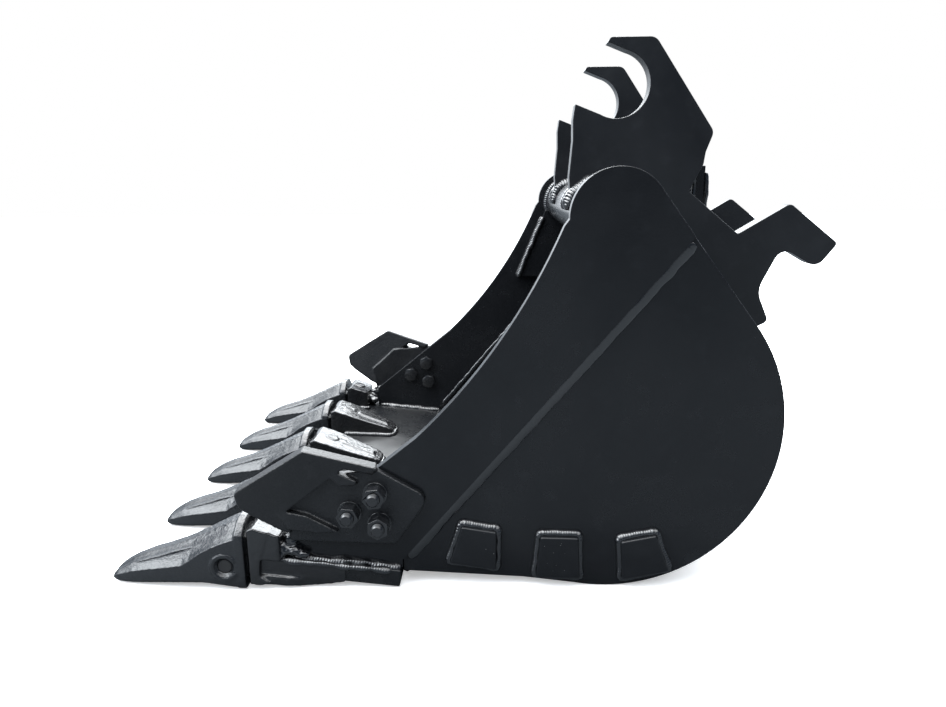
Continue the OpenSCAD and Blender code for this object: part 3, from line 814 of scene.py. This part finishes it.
# the floor keeps its pale look to the eye but throws little light back up the plates
ft = m.m.node_tree
dull = ft.nodes.new("ShaderNodeBsdfDiffuse")
dull.inputs["Color"].default_value = (0.10, 0.11, 0.12, 1)
fl = ft.nodes.new("ShaderNodeLightPath")
fx = ft.nodes.new("ShaderNodeMixShader")
ft.links.new(fl.outputs["Is Camera Ray"], fx.inputs[0])
ft.links.new(dull.outputs[0], fx.inputs[1])
ft.links.new(m.b.outputs[0], fx.inputs[2])
for n in ft.nodes:
    if n.type == "OUTPUT_MATERIAL":
        ft.links.new(fx.outputs[0], n.inputs["Surface"])
fm.materials.append(m.m)

world = bpy.data.worlds.new("studio")
scene.world = world
world.use_nodes = True
wt = world.node_tree
bg = wt.nodes["Background"]
tc = wt.nodes.new("ShaderNodeTexCoord")


def sky(vec, stops):
    d = wt.nodes.new("ShaderNodeVectorMath"); d.operation = "DOT_PRODUCT"
    wt.links.new(tc.outputs["Generated"], d.inputs[0])
    v = Vector(vec).normalized()
    d.inputs[1].default_value = v
    mp = wt.nodes.new("ShaderNodeMapRange")
    mp.inputs["From Min"].default_value = -1; mp.inputs["From Max"].default_value = 1
    wt.links.new(d.outputs["Value"], mp.inputs["Value"])
    r = wt.nodes.new("ShaderNodeValToRGB")
    e = r.color_ramp.elements
    while len(e) < len(stops):
        e.new(0.5)
    for k, (p, c) in enumerate(stops):
        e[k].position = (p + 1) / 2
        e[k].color = (c[0], c[1], c[2], 1)
    wt.links.new(mp.outputs[0], r.inputs["Fac"])
    return r.outputs["Color"]


def add(a, b):
    m = wt.nodes.new("ShaderNodeVectorMath"); m.operation = "ADD"
    wt.links.new(a, m.inputs[0]); wt.links.new(b, m.inputs[1])
    return m.outputs[0]


overall = sky((0, 0, 1), [(-0.2, (0.26, 0.26, 0.27)), (0.0, (0.22, 0.24, 0.27)), (0.12, (0.10, 0.14, 0.20)), (0.40, (0.08, 0.12, 0.18)), (0.62, (1.3, 1.38, 1.46)), (0.9, (3.4, 3.5, 3.6))])
behind = sky((0.0, 0.72, 0.69), [(0.45, (0, 0, 0)), (0.72, (1.2, 1.28, 1.36)), (0.95, (2.6, 2.7, 2.8))])
frontleft = sky((-0.72, -0.26, 0.63), [(0.78, (0, 0, 0)), (0.90, (1.5, 1.62, 1.75)), (0.97, (4.6, 4.9, 5.2))])
wt.links.new(add(add(overall, behind), frontleft), bg.inputs["Color"])
bg.inputs["Strength"].default_value = 1.0
white = wt.nodes.new("ShaderNodeBackground")
white.inputs["Color"].default_value = (1, 1, 1, 1)
lp = wt.nodes.new("ShaderNodeLightPath")
mx = wt.nodes.new("ShaderNodeMixShader")
wt.links.new(lp.outputs["Is Camera Ray"], mx.inputs[0])
wt.links.new(bg.outputs[0], mx.inputs[1])
wt.links.new(white.outputs[0], mx.inputs[2])
wt.links.new(mx.outputs[0], wt.nodes["World Output"].inputs["Surface"])


def area(name, loc, target, size, power, color=(1, 1, 1)):
    l = bpy.data.lights.new(name, "AREA")
    l.shape = "RECTANGLE"; l.size, l.size_y = size
    l.energy = power; l.color = color
    o = bpy.data.objects.new(name, l)
    o.location = loc
    o.rotation_euler = (Vector(target) - Vector(loc)).to_track_quat("-Z", "Y").to_euler()
    coll.objects.link(o)
    return o


area("top_softbox", (-0.4, 0.5, 3.0), (0, 0, 0), (3.0, 2.6), 150)
area("front_left_softbox", (-3.0, -1.2, 2.6), (-0.2, 0, 0.1), (2.0, 1.5), 45, (0.94, 0.98, 1.0))
area("back_softbox", (-0.6, 3.4, 2.3), (0, 0, 0.3), (3.4, 1.5), 110, (0.94, 0.98, 1.0))
scene.view_settings.view_transform = "Standard"

# nothing reaches past the box of the part itself
bpy.context.view_layer.update()
lo, hi = cad_box
for o in MADE:
    mw = o.matrix_world.copy()
    inv = mw.inverted()
    for v in o.data.vertices:
        w = mw @ v.co
        c = Vector([min(max(w[k], lo[k] + 0.0001), hi[k] - 0.0001) for k in range(3)])
        if (c - w).length > 1e-7:
            v.co = inv @ c
    o.data.update()
bpy.context.view_layer.update()
